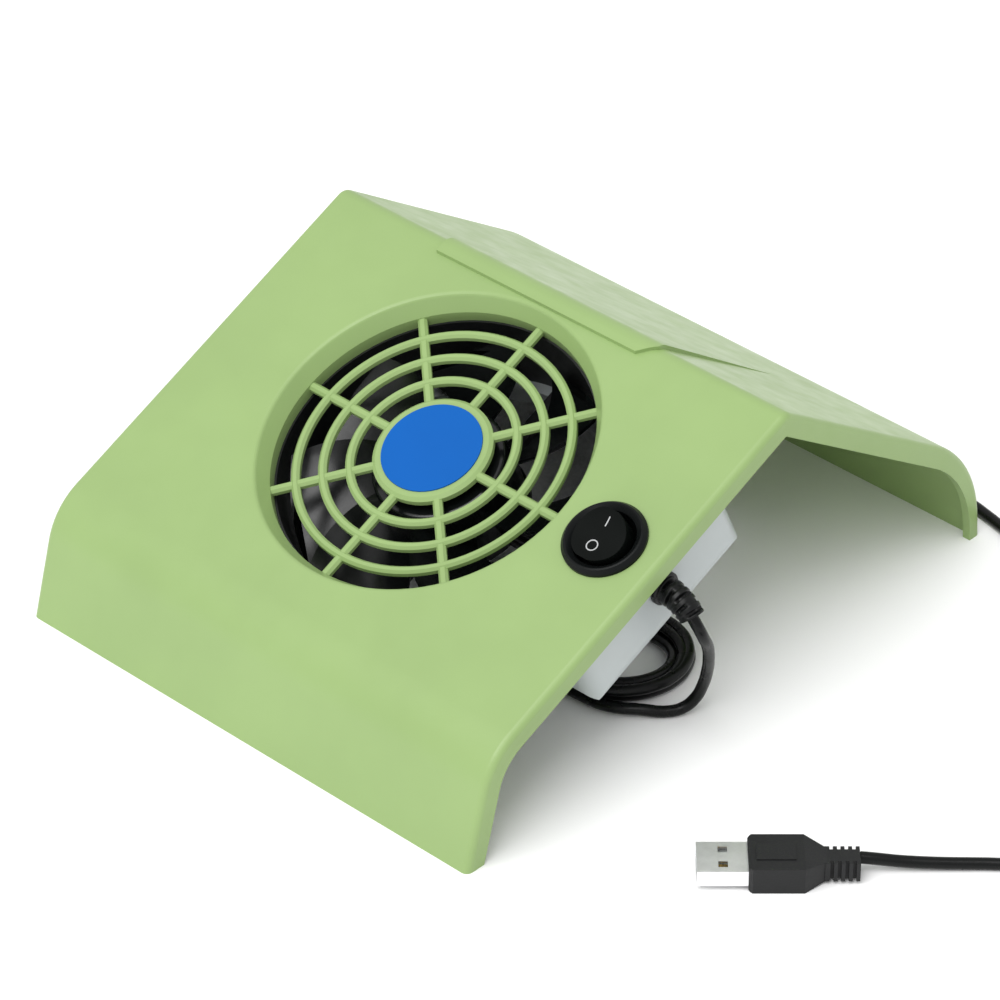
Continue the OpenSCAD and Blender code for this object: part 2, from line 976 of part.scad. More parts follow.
// Smooth path through hand-placed points (Catmull-Rom, steps per span).
function spline_point(p, i, t) =
    let (
        n = len(p),
        a = p[max(i - 1, 0)],
        b = p[i],
        c = p[i + 1],
        d = p[min(i + 2, n - 1)]
    )
    0.5 * (2 * b + (c - a) * t + (2 * a - 5 * b + 4 * c - d) * t * t
           + (3 * b - a - 3 * c + d) * t * t * t);
function spline(p, steps) = concat(
    [for (i = [0:len(p) - 2], k = [0:steps - 1]) spline_point(p, i, k / steps)],
    [p[len(p) - 1]]
);
function tangent(p, i) =
    unit(p[min(i + 1, len(p) - 1)] - p[max(i - 1, 0)]);
// Section axes that stay level: valid while the path is never vertical.
function level_axis(t) = unit(cross(t, [0.01, 0.02, 1]));

module tube(path, d, sides = 8) {
    skin([for (i = [0:len(path) - 1])
        let (t = tangent(path, i), u = level_axis(t), v = cross(u, t))
        [for (k = [0:sides - 1])
            path[i] + (u * cos(k * 360 / sides) + v * sin(k * 360 / sides)) * d / 2]]);
}

// Inner leads are placed in the slope frame as [x, s, h].
function to_shell(points) = [for (p = points) slope_point(p[0], p[1], p[2])];

board_h = fan_h - 20.7;
strut_h = fan_h - fan_t + 3.05 + lead_d / 2;
gap_x = (grille_x + fan_side / 2 + box_x0) / 2;
splice = [66, 68, -22];
lead_gap = 0.35;
terminal_h = -18;

module fan_leads() {
    ends = [[switch_x - terminal_w / 2, switch_s + 4.9, terminal_h], splice];
    for (i = [0, 1]) {
        y = grille_s + (i ? 1 : -1);
        color(i ? "#1c1c1c" : "#b3201c")
            tube(spline(to_shell([
                [grille_x + 13 + lead_gap, y, board_h],
                [grille_x + 20, y, strut_h],
                [gap_x - 4, y, strut_h],
                [gap_x, y, strut_h + 3],
                [gap_x, y, lead_port_h - 2],
                [box_x0 + 4, y, lead_port_h],
                [53, y + 2, terminal_h - 1],
                ends[i] - [1.2, 0, 0],
                ends[i] - [lead_gap, 0, 0]
            ]), 4), lead_d);
    }
}

module supply_leads() {
    ends = [[switch_x + terminal_w / 2, switch_s, terminal_h], splice];
    for (i = [0, 1]) {
        y = boot_s + (i ? 0.7 : -0.7);
        color(i ? "#1c1c1c" : "#b3201c")
            tube(spline(to_shell([
                [box_x1 - 3 - lead_gap, y, boot_h - 0.6],
                [72, y, boot_h - 0.8],
                [70, y + (i ? 3 : 0.5), -16.5],
                ends[i] + [1.6, 0, 0],
                ends[i] + [lead_gap, 0, 0]
            ]), 4), lead_d);
    }
}

boot_start = slope_point(box_x1, boot_s, boot_h);
boot_bend = boot_start + [6.5, 0, 0];
boot_end = [86, -25, 42.5];
boot_ribs = 6;

function boot_at(t) =
    boot_start * (1 - t) * (1 - t) + boot_bend * 2 * t * (1 - t) + boot_end * t * t;
function boot_heading(t) =
    unit((boot_bend - boot_start) * (1 - t) + (boot_end - boot_bend) * t);

module pointing(p, v) {
    translate(p)
        rotate([0, acos(v[2] / norm(v)), atan2(v[1], v[0])])
            children();
}

// Ribbed strain relief: collar, groove in the box wall, drooping ribbed sleeve.
module cord_boot() {
    color(black) {
        on_slope()
            translate([box_x1, -boot_s, boot_h])
                rotate([0, 90, 0]) {
                    translate([0, 0, -3])
                        cylinder(d = 8, h = 3 - box_wall);
                    translate([0, 0, -box_wall - 0.5])
                        cylinder(d = boot_hole_d - 0.1, h = box_wall + 1.5);
                    cylinder(d = 10, h = 2);
                }
        for (i = [0:boot_ribs * 2]) {
            t = i / (boot_ribs * 2 + 1);
            pointing(boot_at(t), boot_heading(t))
                cylinder(d = i % 2 ? 4.8 : 7.8 - t, h = 1.2);
        }
    }
}

r_cord = cord_d / 2;
coil_x = 49;
coil_y = -10;
tie_t = 0.6;
coil_w = 9.8;
coil_h = 6.2;
coil_corner = 2.4;

lead_path = [
    boot_end + boot_heading(1) * 0.45,
    boot_end + boot_heading(1) * 3,
    [87.6, -22.9, 37.5],
    [87, -20, 31.5],
    [84.6, -16.4, 24],
    [81.6, -13.4, 16.5],
    [78.6, -11.8, 9.5],
    [76.6, -12.6, 4.6],
    [75, -15, 2.2],
    [72.8, -18.2, r_cord],
    [69.6, -21.2, r_cord],
    [64, -24.6, r_cord + 0.2]
];
tail_path = [
    [47, -27, 2],
    [42, -31.5, r_cord],
    [36, -37, r_cord],
    [29, -49, r_cord],
    [20, -66, r_cord],
    [3, -80, r_cord],
    [-20, -85, r_cord],
    [-44, -80, r_cord],
    [-58, -62, r_cord],
    [-64, -35, r_cord],
    [-67, 0, r_cord],
    [-74, 34, r_cord],
    [-88, 58, r_cord],
    [-98, 76, r_cord],
    [-101, 96, r_cord],
    [-92, 112, r_cord],
    [-70, 118, r_cord],
    [-40, 117, r_cord],
    [0, 114, r_cord],
    [45, 112, r_cord],
    [80, 107, r_cord],
    [110, 98, r_cord],
    [150, 84, r_cord],
    [182, 60, r_cord],
    [195, 30, r_cord],
    [188, 5, r_cord],
    [172, -10.5, r_cord],
    [158, -24, 2.4],
    [150.7, -31, 3.6]
];

module coil_section(grow = 0) {
    w = coil_w + 2 * grow;
    h = coil_h + 2 * grow;
    r = coil_corner + grow;
    translate([-w / 2 + r, -h / 2])
        square([w - 2 * r, h]);
    translate([-w / 2, -h / 2 + r])
        square([w, h - 2 * r]);
    for (x = [-1, 1], z = [-1, 1])
        translate([x * (w / 2 - r), z * (h / 2 - r)])
            circle(r = r, $fn = 32);
}

module cord_lead() {
    color(black)
        tube(spline(lead_path, 2), cord_d);
}

module cord_coil() {
    color(black)
        translate([coil_x, coil_y, tie_t + coil_h / 2])
            rotate_extrude($fn = 96)
                translate([coil_d / 2, 0])
                    coil_section();
}

module cord_tie() {
    color("#2a2a2c")
        translate([coil_x, coil_y, tie_t + coil_h / 2])
            rotate([0, 0, 115])
                rotate_extrude(angle = 24, $fn = 96)
                    translate([coil_d / 2, 0])
                        difference() {
                            coil_section(tie_t);
                            coil_section(0.02);
                        }
}

module cord_tail() {
    color(black)
        tube(spline(tail_path, 3), cord_d);
}

// ---- plug, drawn lying flat along +X, cord end at the origin ---------------

plug_relief = 8.4;
plug_taper = 5.5;
plug_grip = 14.1;
plug_metal = 12.9;
plug_w = 14.3;
plug_t = 7.5;
plug_heading = 223.33;
plug_pos = [151.1, -34.0, plug_t / 2];
grip_end = plug_relief + plug_taper + plug_grip;

module at_plug() {
    translate(plug_pos)
        rotate([0, 0, plug_heading])
            children();
}

module plug_body() {
    neck_w = 7;
    neck_t = 5.6;
    bevel = 1;
    color("#232426")
        at_plug()
            difference() {
                union() {
                    intersection() {
                        translate([0, 0, -plug_t / 2])
                            linear_extrude(plug_t)
                                polygon([
                                    [plug_relief, -neck_w / 2 + 0.5],
                                    [plug_relief, neck_w / 2 - 0.5],
                                    [plug_relief + plug_taper, plug_w / 2],
                                    [grip_end - bevel, plug_w / 2],
                                    [grip_end, plug_w / 2 - bevel],
                                    [grip_end, -plug_w / 2 + bevel],
                                    [grip_end - bevel, -plug_w / 2],
                                    [plug_relief + plug_taper, -plug_w / 2]
                                ]);
                        rotate([90, 0, 0])
                            linear_extrude(plug_w + 2, center = true)
                                polygon([
                                    [plug_relief, -neck_t / 2],
                                    [plug_relief, neck_t / 2],
                                    [plug_relief + plug_taper, plug_t / 2],
                                    [grip_end - bevel / 2, plug_t / 2],
                                    [grip_end, plug_t / 2 - bevel / 2],
                                    [grip_end, -plug_t / 2 + bevel / 2],
                                    [grip_end - bevel / 2, -plug_t / 2],
                                    [plug_relief + plug_taper, -plug_t / 2]
                                ]);
                    }
                    translate([0, -neck_w / 2, -neck_t / 2])
                        cube([plug_relief + 0.5, neck_w, neck_t]);
                    translate([grip_end - 12, -3.2, plug_t / 2 - 0.5])
                        cube([10, 6.4, 0.8]);
                }
                for (i = [0:3], side = [-1, 1])
                    translate([1 + i * 1.9, side * (neck_w / 2 + 0.5) - 1.7, -4])
                        cube([0.9, 3.4, 8]);
                translate([grip_end - 6, -6.05, -2.3])
                    cube([7, 12.1, 4.6]);
            }
}

module plug_shell() {
    length = plug_metal + 6;
    color(steel)
        at_plug()
            translate([grip_end - 6, 0, 0])
                difference() {
                    translate([0, -6, -2.25])
                        cube([length, 12, 4.5]);
                    translate([-1, -5.65, -1.9])
                        cube([length + 2, 11.3, 3.8]);
                    for (y = [-1, 1])
                        translate([length - 7.8, y * 2.9 - 1.15, -5])
                            cube([2.4, 2.3, 10]);
                }
}

module plug_tongue() {
    color(white)
        at_plug()
            translate([grip_end - 5.5, -5.6, -1.88])
                cube([plug_metal + 5, 11.2, 1.85]);
}

module plug_contacts() {
    color(gold)
        at_plug()
            for (y = [-3.5, -1, 1, 3.5])
                translate([grip_end - 3, y - 0.5, -0.03])
                    cube([plug_metal + 1, 1, 0.25]);
}

shell();
label_disc();
fan_frame();
fan_impeller();
rotor_yoke();
rotor_magnet();
fan_shaft();
shaft_clip();
fan_bearing();
stator_core();
stator_coils();
fan_board();
fan_screws();
bag_collar();
bag_elastic();
dust_bag();
switch_body();
switch_rocker();
contact_arm();
switch_terminals();
wiring_box();
box_screws();
fan_leads();
supply_leads();
cord_boot();
cord_lead();
cord_coil();
cord_tie();
cord_tail();
plug_body();
plug_shell();
plug_tongue();
plug_contacts();
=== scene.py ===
"""Nail dust collector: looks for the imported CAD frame. Blender 4.5, metres, the CAD's frame."""

import math

import bmesh
import bpy
import numpy as np
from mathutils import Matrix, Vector, noise
from mathutils.bvhtree import BVHTree


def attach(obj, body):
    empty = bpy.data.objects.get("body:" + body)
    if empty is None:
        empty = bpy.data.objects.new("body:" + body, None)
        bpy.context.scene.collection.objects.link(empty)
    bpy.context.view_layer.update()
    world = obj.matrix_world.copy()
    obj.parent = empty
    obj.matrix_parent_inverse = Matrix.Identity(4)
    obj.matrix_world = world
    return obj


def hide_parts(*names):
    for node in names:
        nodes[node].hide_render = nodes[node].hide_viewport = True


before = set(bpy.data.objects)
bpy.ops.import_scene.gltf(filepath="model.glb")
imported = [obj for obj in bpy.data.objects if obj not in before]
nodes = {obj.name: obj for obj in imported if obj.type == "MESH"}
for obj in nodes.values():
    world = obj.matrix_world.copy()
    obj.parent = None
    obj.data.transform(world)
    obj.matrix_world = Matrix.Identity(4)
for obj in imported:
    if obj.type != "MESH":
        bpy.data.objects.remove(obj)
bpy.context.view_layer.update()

MM = 0.001


def mm(*xyz):
    """A point given in millimetres, in the row frame."""
    return Vector(xyz) * MM


# Slope frame of the CAD: origin on the ridge, x along it, s down the slope, h out of it (mm).
SLOPE = math.radians(24.3)
RIDGE_Y, RIDGE_Z = 17.5, 81.0


def on_slope(x, s, h=0.0):
    y = RIDGE_Y - s * math.cos(SLOPE) - h * math.sin(SLOPE)
    z = RIDGE_Z - s * math.sin(SLOPE) + h * math.cos(SLOPE)
    return mm(x, y, z)


SLOPE_NORMAL = Vector((0, -math.sin(SLOPE), math.cos(SLOPE)))
SLOPE_UP = Vector((0, math.cos(SLOPE), math.sin(SLOPE)))
# Axis of fan, grille and pouch neck: place along the ridge and down the slope.
AXIS_X, AXIS_S = -1.5, 53.1


def turns(count):
    """Angles spread evenly round a circle."""
    return [2 * math.pi * k / count for k in range(count)]


# ---- camera ---------------------------------------------------------------

AZIMUTH, ELEVATION = math.radians(43.332), math.radians(35.083)
TARGET = mm(8.28, -13.48, 35.33)
DISTANCE = 1.3783
LENS = 188.18


def make_camera():
    back = Vector((
        math.sin(AZIMUTH) * math.cos(ELEVATION),
        -math.cos(AZIMUTH) * math.cos(ELEVATION),
        math.sin(ELEVATION),
    ))
    camera = bpy.data.objects.new("camera", bpy.data.cameras.new("camera"))
    bpy.context.scene.collection.objects.link(camera)
    camera.location = TARGET + back * DISTANCE
    camera.rotation_euler = back.to_track_quat("Z", "Y").to_euler()
    camera.data.lens = LENS
    camera.data.sensor_width = 36
    camera.data.clip_start = 0.05
    camera.data.clip_end = 20
    bpy.context.scene.camera = camera


make_camera()

# ---- cord -------------------------------------------------------------------
# Route points in millimetres: the CAD's, eased where the cord meets the boot, coil and plug.

CORD_D = 3.2
CORD_R = CORD_D / 2
BOOT_START = on_slope(75.8, 52.9, -13.5) / MM
BOOT_BEND = BOOT_START + Vector((6.5, 0, 0))
BOOT_END = Vector((86, -25, 42.5))
LEAD = [
    (87.8, -24.6, 39.8),
    (88.3, -23.2, 36.4),
    (87, -19.8, 31),
    (84.6, -16.4, 24),
    (81.6, -13.4, 16.5),
    (78.9, -11.9, 9.8),
    (77.1, -12.4, 5.3),
    (75.3, -14.7, 2.5),
    (72.8, -18, CORD_R),
]
COIL_CENTRE = (49, -10)
COIL_R = 16
COIL_FLOOR = 0.6
TAIL = [
    (34.6, -37.6, 1.8),
    (29, -49, CORD_R),
    (20, -66, CORD_R),
    (3, -80, CORD_R),
    (-20, -85, CORD_R),
    (-44, -80, CORD_R),
    (-58, -62, CORD_R),
    (-64, -35, CORD_R),
    (-67, 0, CORD_R),
    (-88, 58, CORD_R),
    (-98, 76, CORD_R),
    (-101, 96, CORD_R),
    (-92, 112, CORD_R),
    (-70, 118, CORD_R),
    (-40, 117, CORD_R),
    (45, 112, CORD_R),
    (80, 107, CORD_R),
    (150, 84, CORD_R),
    (182, 60, CORD_R),
    (195, 30, CORD_R),
    (188, 5, CORD_R),
    (172, -10.5, CORD_R),
    (158, -24, 2.4),
    (151.6, -30.1, 3.5),
    (149.5, -32, 3.75),
]
# Where each turn lies in the bundle: offset from the coil's middle radius, height above its floor.
TURN_SLOTS = [(3.3, 1.6), (0, 1.6), (-3.3, 1.6), (-1.65, 4.4), (1.65, 4.4)]
TURN_POINTS = 16
ENTRY_ANGLE = -35
EXIT_ANGLE = -85
# Part of a turn after which it moves over to the next turn's slot.
SHIFT_START = 0.6
# How far outside its slot the cord comes in, and over how many degrees it settles there.
ENTRY_OFFSET, ENTRY_BLEND = 3.3, 45
# Radius, angle past the exit and height as the cord climbs off the bundle.
LEAVING = [(18.6, 12, 4.55), (20.6, 22, 4.3), (23.8, 31, 2.6)]


def smooth(t):
    """Eases from 0 to 1 as t goes from 0 to 1, and stays there outside."""
    t = min(max(t, 0), 1)
    return t * t * (3 - 2 * t)


def coil_point(radius, angle, height):
    """Point round the coil's axis; the angle is in degrees."""
    a = math.radians(angle)
    return (
        COIL_CENTRE[0] + radius * math.cos(a),
        COIL_CENTRE[1] + radius * math.sin(a),
        COIL_FLOOR + height,
    )


def coil_points():
    """Turns laid clockwise from the outside, first on the floor and then on top."""
    total = 360 * len(TURN_SLOTS) + ENTRY_ANGLE - EXIT_ANGLE
    count = round(total / 360 * TURN_POINTS)
    points = []
    for i in range(count + 1):
        turned = total * i / count
        turn = min(int(turned / 360), len(TURN_SLOTS) - 1)
        here = TURN_SLOTS[turn]
        after = TURN_SLOTS[min(turn + 1, len(TURN_SLOTS) - 1)]
        shift = smooth((turned / 360 - turn - SHIFT_START) / (1 - SHIFT_START))
        offset = here[0] + (after[0] - here[0]) * shift
        height = here[1] + (after[1] - here[1]) * shift
        offset += ENTRY_OFFSET * (1 - smooth(turned / ENTRY_BLEND))
        points.append(coil_point(COIL_R + offset, ENTRY_ANGLE - turned, height))
    return points


def cord_route():
    """From inside the strain relief, down to the coil, through its turns and on to the plug."""
    heading = (BOOT_END - BOOT_BEND).normalized()
    start = [tuple(BOOT_END + heading * distance) for distance in (-3, 0)]
    leaving = [coil_point(r, EXIT_ANGLE - turned, height) for r, turned, height in LEAVING]
    return start + LEAD + coil_points() + leaving + TAIL


def make_cord():
    """One open curve through the route."""
    points = cord_route()
    curve = bpy.data.curves.new("supply_cord", "CURVE")
    curve.dimensions = "3D"
    # The thickness is in each knot's radius, times this.
    curve.bevel_depth = 1
    curve.bevel_resolution = 5
    curve.resolution_u = 6
    spline = curve.splines.new("BEZIER")
    spline.bezier_points.add(len(points) - 1)
    for knot, p in zip(spline.bezier_points, points):
        knot.co = mm(*p)
        knot.radius = CORD_R * MM
        knot.handle_left_type = knot.handle_right_type = "AUTO"
    cord = bpy.data.objects.new("supply_cord", curve)
    bpy.context.scene.collection.objects.link(cord)
    return cord


cord = make_cord()
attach(cord, "base")
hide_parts("cord_lead", "cord_coil", "cord_tail")

# ---- materials --------------------------------------------------------------


class Shader:
    """Builds one node material round a Principled shader, in object space (metres)."""

    def __init__(self, name, color, roughness, **sockets):
        self.material = bpy.data.materials.new(name)
        self.material.use_nodes = True
        self.tree = self.material.node_tree
        self.shader = self.tree.nodes["Principled BSDF"]
        self.color = (*color, 1)
        self.shader.inputs["Base Color"].default_value = self.color
        self.shader.inputs["Roughness"].default_value = roughness
        for socket, value in sockets.items():
            self.shader.inputs[socket.replace("_", " ")].default_value = value
        self.place = self.tree.nodes.new("ShaderNodeTexCoord").outputs["Object"]

    def node(self, kind, **inputs):
        made = self.tree.nodes.new(kind)
        for name, value in inputs.items():
            socket = made.inputs[name.replace("_", " ")]
            if hasattr(value, "is_linked"):
                self.tree.links.new(value, socket)
            else:
                socket.default_value = value
        return made

    def noise(self, size, detail=3.0, stretch=None):
        """Noise whose features are about size metres across."""
        place = self.place
        if stretch:
            mapping = self.node("ShaderNodeMapping", Vector=place)
            mapping.inputs["Scale"].default_value = stretch
            place = mapping.outputs["Vector"]
        return self.node(
            "ShaderNodeTexNoise", Vector=place, Scale=1 / size, Detail=detail, Roughness=0.55
        ).outputs["Fac"]

    def cells(self, size):
        """Distance to the nearest of many points about size metres apart."""
        made = self.node("ShaderNodeTexVoronoi", Vector=self.place, Scale=1 / size)
        return made.outputs["Distance"]

    def span(self, value, low, high):
        """Value stretched so that 0.3 gives low and 0.7 gives high."""
        return self.node(
            "ShaderNodeMapRange",
            Value=value, From_Min=0.3, From_Max=0.7, To_Min=low, To_Max=high,
        ).outputs["Result"]

    def tint(self, value, darker, lighter):
        """Base colour moves between darker and lighter times itself as value goes 0.3 to 0.7."""
        factor = self.span(value, 0, 1)
        mix = self.tree.nodes.new("ShaderNodeMix")
        mix.data_type = "RGBA"
        self.tree.links.new(factor, mix.inputs[0])
        mix.inputs[6].default_value = (*[c * darker for c in self.color[:3]], 1)
        mix.inputs[7].default_value = (*[min(c * lighter, 1) for c in self.color[:3]], 1)
        self.tree.links.new(mix.outputs[2], self.shader.inputs["Base Color"])
        return self

    def polish(self, value, low, high):
        """Roughness moves between low and high as value goes 0.3 to 0.7."""
        self.tree.links.new(self.span(value, low, high), self.shader.inputs["Roughness"])
        return self

    def bump(self, value, depth, strength):
        """Relief of the given depth in metres, laid over any relief made before."""
        normal = self.node("ShaderNodeBump", Height=value, Distance=depth, Strength=strength)
        previous = self.shader.inputs["Normal"]
        if previous.is_linked:
            self.tree.links.new(previous.links[0].from_socket, normal.inputs["Normal"])
        self.tree.links.new(normal.outputs["Normal"], self.shader.inputs["Normal"])
        return self


def moulded(name, color, rough, grain=0.0004, depth=0.00001, **sockets):
    """Moulded plastic: faint flow shading, uneven polish and a fine surface grain."""
    s = Shader(name, color, rough, **sockets)
    s.tint(s.noise(0.03), 0.965, 1.03)
    s.polish(s.noise(0.008), rough - 0.05, rough + 0.06)
    s.bump(s.noise(grain, 4), depth, 0.5)
    return s


def metal(name, color, rough, stretch=(1, 1, 12)):
    """Plated or drawn metal; stretch packs its fine marks closer along each axis."""
    s = Shader(name, color, rough, Metallic=1.0)
    s.tint(s.noise(0.004), 0.9, 1.05)
    s.polish(s.noise(0.0008, 4, stretch), rough - 0.08, rough + 0.1)
    s.bump(s.noise(0.0005, 3, stretch), 0.000008, 0.4)
    return s


def fabric(name, color, fibre=0.0005):
    """Non-woven cloth: matted fibres and a regular grid of pressed dots."""
    s = Shader(name, color, 0.9)
    s.shader.inputs["Sheen Weight"].default_value = 0.25
    s.tint(s.noise(fibre * 2, 6), 0.9, 1.03)
    s.bump(s.noise(fibre, 8), 0.00012, 0.6)
    s.bump(s.cells(0.0022), 0.00025, 0.5)
    return s


# Linear colours.
GREEN = (0.262, 0.38, 0.141)
BLACK = (0.0055, 0.0065, 0.0065)
WHITE = (0.46, 0.5, 0.5)


def make_materials():
    return {
        "shell": moulded("shell_green", GREEN, 0.36, 0.0005, 0.000012, Specular_IOR_Level=0.45),
        "label": moulded(
            "label_blue", (0.0, 0.095, 0.39), 0.5, 0.0003, 0.000006, Specular_IOR_Level=0.15
        ),
        "fan": moulded("fan_black", (0.006, 0.0065, 0.007), 0.42, 0.0003, 0.00001),
        "blade": moulded("blade_gloss", (0.004, 0.005, 0.005), 0.2, 0.004, 0.00001),
        "white": moulded("box_white", WHITE, 0.34, 0.0004, 0.000008),
        "switch": moulded(
            "switch_black", BLACK, 0.3, 0.00025, 0.000012, Specular_IOR_Level=0.12
        ),
        "rocker": moulded(
            "rocker_black", (0.003, 0.004, 0.0035), 0.34, 0.0003, 0.000006, Specular_IOR_Level=0.07
        ),
        "cord": moulded(
            "cord_black", (0.0035, 0.004, 0.004), 0.27, 0.0003, 0.000015, Specular_IOR_Level=0.2
        ),
        "boot": moulded(
            "boot_black", (0.0035, 0.004, 0.004), 0.3, 0.0003, 0.00002, Specular_IOR_Level=0.25
        ),
        "plug": moulded(
            "plug_grip", (0.012, 0.0125, 0.013), 0.5, 0.0007, 0.00012, Specular_IOR_Level=0.3
        ),
        "lead": moulded("lead_black", (0.008, 0.008, 0.009), 0.45),
        "board": moulded("board_green", (0.01, 0.1, 0.03), 0.35),
        "magnet": moulded("magnet_grey", (0.03, 0.03, 0.032), 0.7, 0.0002, 0.00003),
        "steel": metal("steel", (0.6, 0.61, 0.63), 0.32),
        "plated": metal("plated_shell", (0.93, 0.93, 0.94), 0.36, (3, 3, 3)),
        "gold": metal("gold_contacts", (0.8, 0.55, 0.2), 0.25),
        "copper": metal("copper_wire", (0.72, 0.32, 0.14), 0.3),
        "bronze": metal("bearing_bronze", (0.5, 0.33, 0.16), 0.45),
        "pouch": fabric("pouch_nonwoven", (0.82, 0.83, 0.83)),
        "elastic": fabric("hem_elastic", (0.75, 0.76, 0.76), 0.0003),
        "tie": fabric("tie_strap", (0.012, 0.012, 0.013), 0.0003),
        "mark": moulded("mark_grey", (0.45, 0.46, 0.46), 0.5),
    }


materials = {name: s.material for name, s in make_materials().items()}

CAD_MATERIALS = {
    "shell": "shell",
    "label_disc": "label",
    "fan_frame": "fan",
    "fan_impeller": "blade",
    "rotor_yoke": "steel",
    "rotor_magnet": "magnet",
    "fan_shaft": "steel",
    "shaft_clip": "steel",
    "fan_bearing": "bronze",
    "stator_core": "steel",
    "stator_coils": "copper",
    "fan_board": "board",
    "fan_screws": "steel",
    "bag_collar": "white",
    "bag_elastic": "elastic",
    "switch_body": "switch",
    "switch_rocker": "rocker",
    "contact_arm": "copper",
    "switch_terminals": "steel",
    "wiring_box": "white",
    "box_screws": "steel",
    "fan_leads": "lead",
    "supply_leads": "lead",
    "cord_tie": "tie",
    "plug_body": "plug",
    "plug_shell": "plated",
    "plug_tongue": "white",
    "plug_contacts": "gold",
}


def paint(obj, name):
    obj.data.materials.clear()
    obj.data.materials.append(materials[name])


for node_name, material_name in CAD_MATERIALS.items():
    paint(nodes[node_name], material_name)
paint(cord, "cord")

# ---- pieces -----------------------------------------------------------------


WELD_DISTANCE = 1e-7


def fix_normals(obj):
    """Welds points that meet and turns every face outward."""
    bm = bmesh.new()
    bm.from_mesh(obj.data)
    bmesh.ops.remove_doubles(bm, verts=bm.verts, dist=WELD_DISTANCE)
    bmesh.ops.recalc_face_normals(bm, faces=bm.faces)
    bm.to_mesh(obj.data)
    bm.free()


def mesh_object(name, verts, faces, material, body="base"):
    """A smooth, painted piece that rides on a body, its faces turned outward."""
    mesh = bpy.data.meshes.new(name)
    mesh.from_pydata([tuple(v) for v in verts], [], faces)
    mesh.validate()
    obj = bpy.data.objects.new(name, mesh)
    bpy.context.scene.collection.objects.link(obj)
    mesh.polygons.foreach_set("use_smooth", [True] * len(mesh.polygons))
    paint(obj, material)
    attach(obj, body)
    fix_normals(obj)
    return obj


def skin(rings, closed_ends=True):
    """Vertices and faces through closed rings with equally many points."""
    count = len(rings[0])
    verts = [p for ring in rings for p in ring]
    faces = []
    for i in range(len(rings) - 1):
        for j in range(count):
            a, b = i * count + j, i * count + (j + 1) % count
            faces.append((a, b, b + count, a + count))
    if closed_ends:
        faces.append(tuple(reversed(range(count))))
        faces.append(tuple(range((len(rings) - 1) * count, len(rings) * count)))
    return verts, faces


def joined(skins):
    """Vertices and faces of several skins as one mesh."""
    verts, faces = [], []
    for more_verts, more_faces in skins:
        faces += [tuple(k + len(verts) for k in face) for face in more_faces]
        verts += more_verts
    return verts, faces


# Strain relief: a drooping sleeve whose ribs are joined by staggered bridges.
BOOT_RIBS = 5
BOOT_SIDES = 48
BOOT_STEPS = 96
BOOT_CORE_R = 2.15
BOOT_ROOT_R, BOOT_MOUTH_R = 3.95, 3.5
# Share of the sleeve before its first rib.
BOOT_PLAIN = 0.12
# Collar that grips the box wall: distance along it from the box face and radius, in mm.
COLLAR = [
    (-3, 3.3),
    (-2.9, 4),
    (-2.1, 4),
    (-2, 2.95),
    (0, 2.95),
    (0.02, 4.2),
    (0.3, 4.6),
    (1.4, 4.6),
    (1.8, 4.3),
    (1.85, 3.6),
]


def sleeve_radius(t, angle):
    """Radius in mm at t along the sleeve and angle round it."""
    outer = BOOT_ROOT_R + (BOOT_MOUTH_R - BOOT_ROOT_R) * t
    if t < BOOT_PLAIN:
        return outer
    phase = (t - BOOT_PLAIN) / (1 - BOOT_PLAIN) * BOOT_RIBS
    rib = smooth((abs(phase % 1 - 0.5) - 0.16) / 0.1)
    quarter = math.pi / 2 if int(phase) % 2 else 0
    bridge = smooth((abs(math.cos(angle + quarter)) - 0.72) / 0.14)
    return BOOT_CORE_R + (outer - BOOT_CORE_R) * max(rib, bridge * 0.92)


def sleeve_ring(t):
    """Ring square to the sleeve's drooping middle line, at t along it."""
    centre = BOOT_START * (1 - t) ** 2 + BOOT_BEND * 2 * t * (1 - t) + BOOT_END * t * t
    along = ((BOOT_BEND - BOOT_START) * (1 - t) + (BOOT_END - BOOT_BEND) * t).normalized()
    side = along.cross(Vector((0, 0, 1))).normalized()
    up = side.cross(along)
    return [
        (centre + (side * math.cos(a) + up * math.sin(a)) * sleeve_radius(t, a)) * MM
        for a in turns(BOOT_SIDES)
    ]


def collar_ring(distance, radius):
    """Ring of the collar, which runs straight out of the box."""
    return [
        (BOOT_START + Vector((distance, radius * math.cos(a), radius * math.sin(a)))) * MM
        for a in turns(BOOT_SIDES)
    ]


def make_boot():
    """Strain relief: the ribbed sleeve and the collar that holds it in the box."""
    sleeve = skin([sleeve_ring(i / BOOT_STEPS) for i in range(BOOT_STEPS + 1)])
    collar = skin([collar_ring(*station) for station in COLLAR])
    boot = mesh_object("strain_relief", *joined([sleeve, collar]), "boot")
    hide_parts("cord_boot")
    return boot


boot = make_boot()

# Dust bag: hem frilled above the elastic, neck over the collar, then a slack pouch.
NECK_H = -39.3
# Radius, height and size of the frills, from the hem down.
NECK_RINGS = [
    (45.6, -34.3, 0.7),
    (44.8, -35.0, 0.5),
    (43.6, -35.7, 0.12),
    (43.25, -36.8, 0.05),
    (43.6, -37.8, 0.08),
    (44.4, -38.6, 0.2),
    (44.6, -39.4, 0.4),
]
CLOTH_THICKNESS = 0.35 * MM
POUCH_AROUND = 112
POUCH_DOWN = 40
POUCH_FOLDS = ((9, 0.3, 0.5), (14, 1.9, 0.35), (23, 0.7, 0.3), (31, 2.2, 0.2))
# Rays that find its surface turn from just under the neck's plane to straight down, in degrees.
FIRST_DROP, DROP_RANGE = 4, 85
# How far inside its space the cloth starts: everywhere, more near the neck, and more in a crease.
SLACK = 1.2 * MM
NECK_SLACK = 0.9 * MM
CREASE = 1.2 * MM
